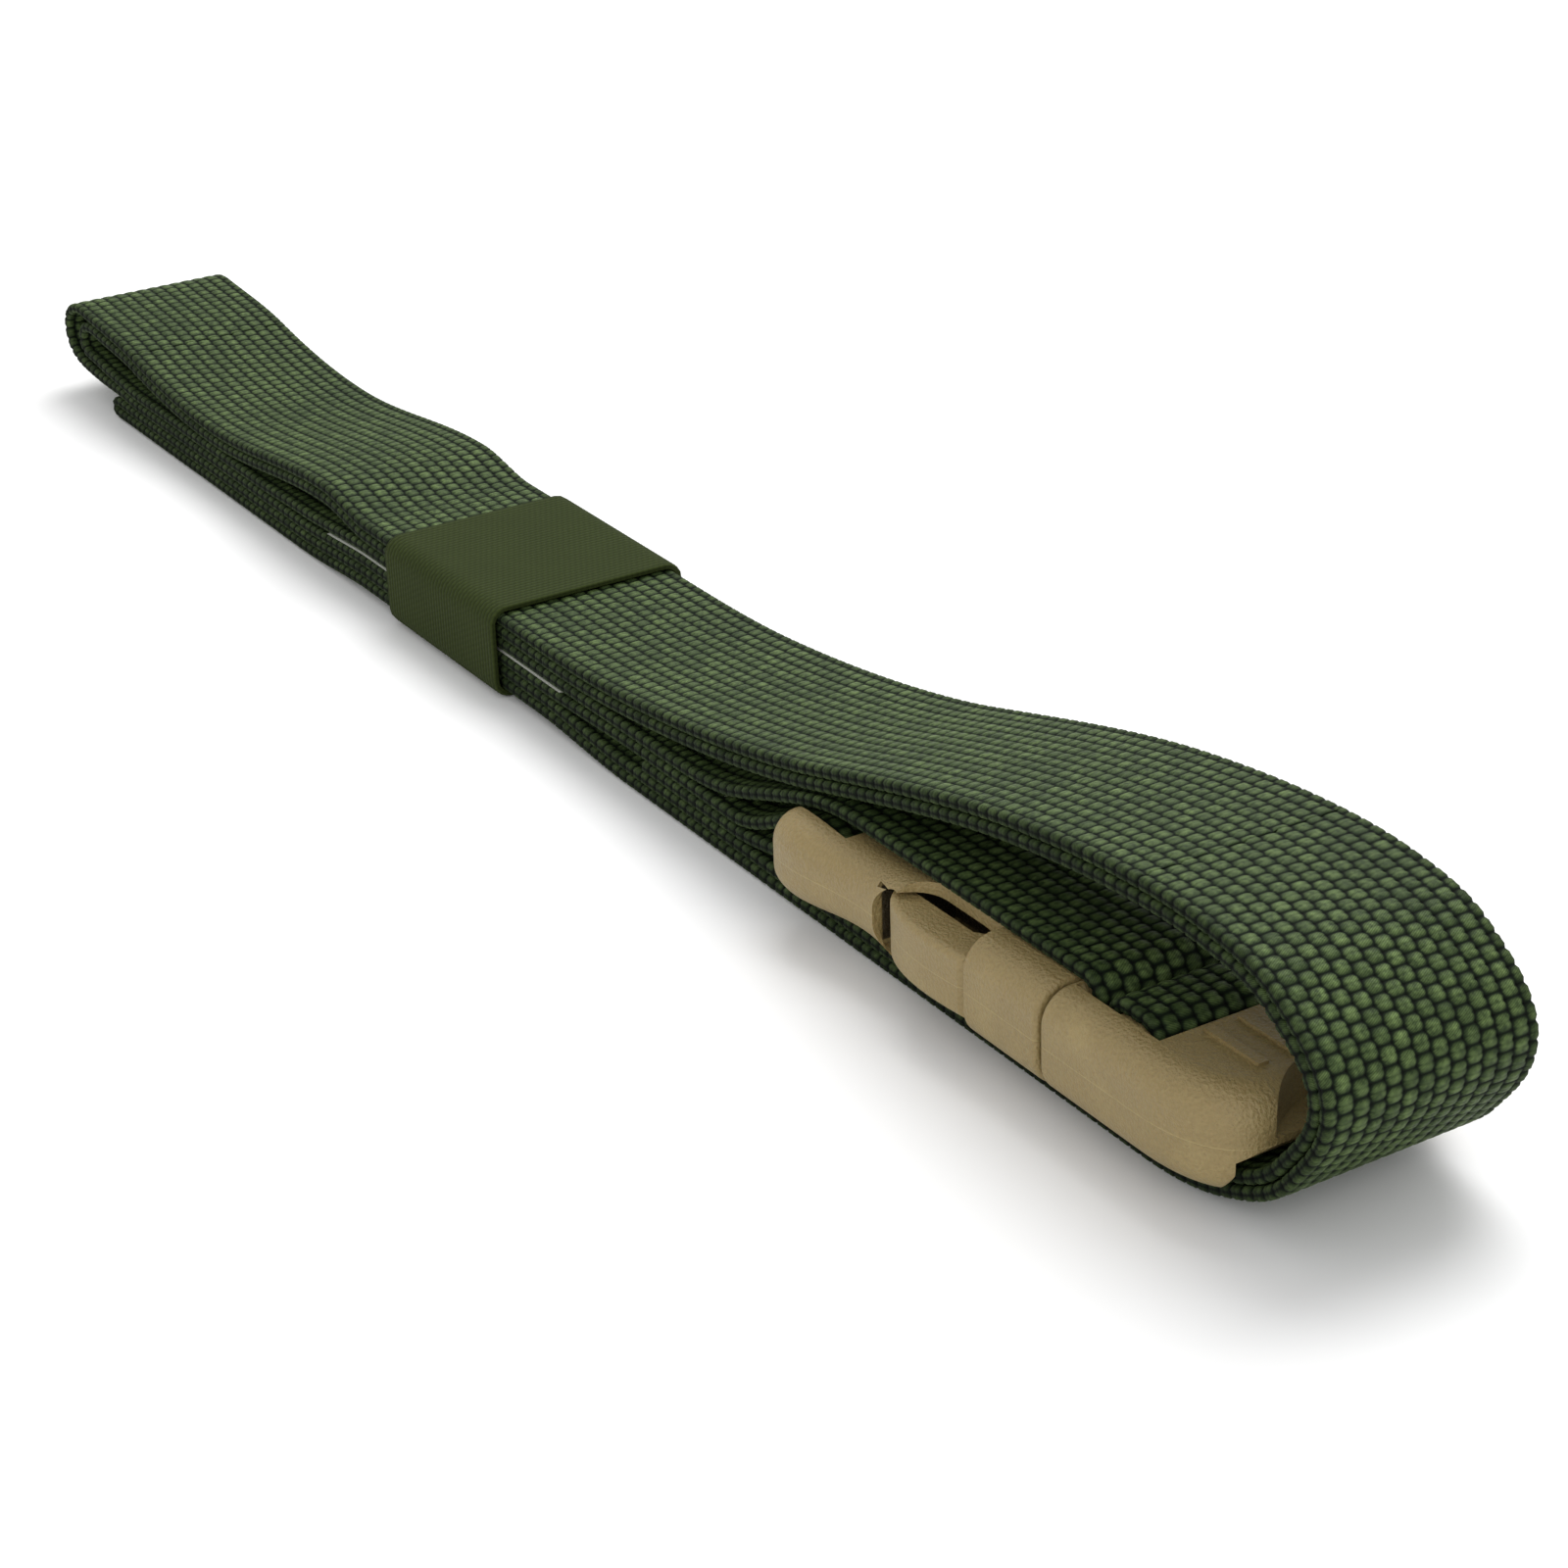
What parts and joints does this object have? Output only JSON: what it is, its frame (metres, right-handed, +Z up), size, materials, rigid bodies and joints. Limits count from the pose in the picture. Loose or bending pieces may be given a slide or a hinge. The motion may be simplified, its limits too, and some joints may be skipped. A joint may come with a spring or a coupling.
{
  "type": "folded webbing tourniquet",
  "caption": "Webbing tourniquet strap folded flat into a bundle with a closed side-release buckle, held by an elastic keeper band.",
  "frame": {"origin": "middle of the bundle's length and width, on the surface it lies on", "axes": "+X along the bundle towards the end that holds the buckle, +Y across the web, +Z up"},
  "size_m": [0.304, 0.0346, 0.0301],
  "materials": {
    "webbing": "coarse olive green basket-weave polymer webbing",
    "buckle": "tan moulded acetal with a fine matte grain",
    "elastic": "finely ribbed olive elastic",
    "label": "thin light grey woven label strip",
    "thread": "olive bonded sewing thread"
  },
  "bodies": {
    "bundle": {"strap_bar_loop": "webbing", "strap_socket_run": "webbing", "strap_far_fold_outer": "webbing", "strap_top_run": "webbing", "strap_bottom_run": "webbing", "strap_far_fold_lower": "webbing", "strap_bottom_inner_run": "webbing", "strap_top_inner_run": "webbing", "strap_far_fold_inner": "webbing", "strap_plug_run": "webbing", "socket_shell": "buckle", "care_label": "label", "loop_stitching": "thread"},
    "plug": {"plug_frame": "buckle", "strap_near_fold_outer": "webbing", "strap_near_fold_inner": "webbing", "strap_adjuster_wrap": "webbing"},
    "left_arm": {"left_latch_arm": "buckle"},
    "right_arm": {"right_latch_arm": "buckle"},
    "keeper": {"keeper_band": "elastic", "keeper_stitching": "thread"}
  },
  "joints": [
    {"name": "plug_release", "type": "slide", "parent": "bundle", "child": "plug", "axis": [1, 0, 0], "range_m": [0, 0.03], "deforming": ["left_latch_arm", "right_latch_arm"]},
    {"name": "left_arm_press", "type": "hinge", "parent": "plug", "child": "left_arm", "pos_m": [0.11344, 0.0108, 0.00913], "axis": [0, 0, 1], "range_deg": [0, 8], "stiffness_Nm_per_rad": 1},
    {"name": "right_arm_press", "type": "hinge", "parent": "plug", "child": "right_arm", "pos_m": [0.11344, -0.0108, 0.00913], "axis": [0, 0, -1], "range_deg": [0, 8], "stiffness_Nm_per_rad": 1},
    {"name": "keeper_slide", "type": "slide", "parent": "bundle", "child": "keeper", "axis": [1, 0, 0], "range_m": [-0.006, 0.006]}
  ]
}
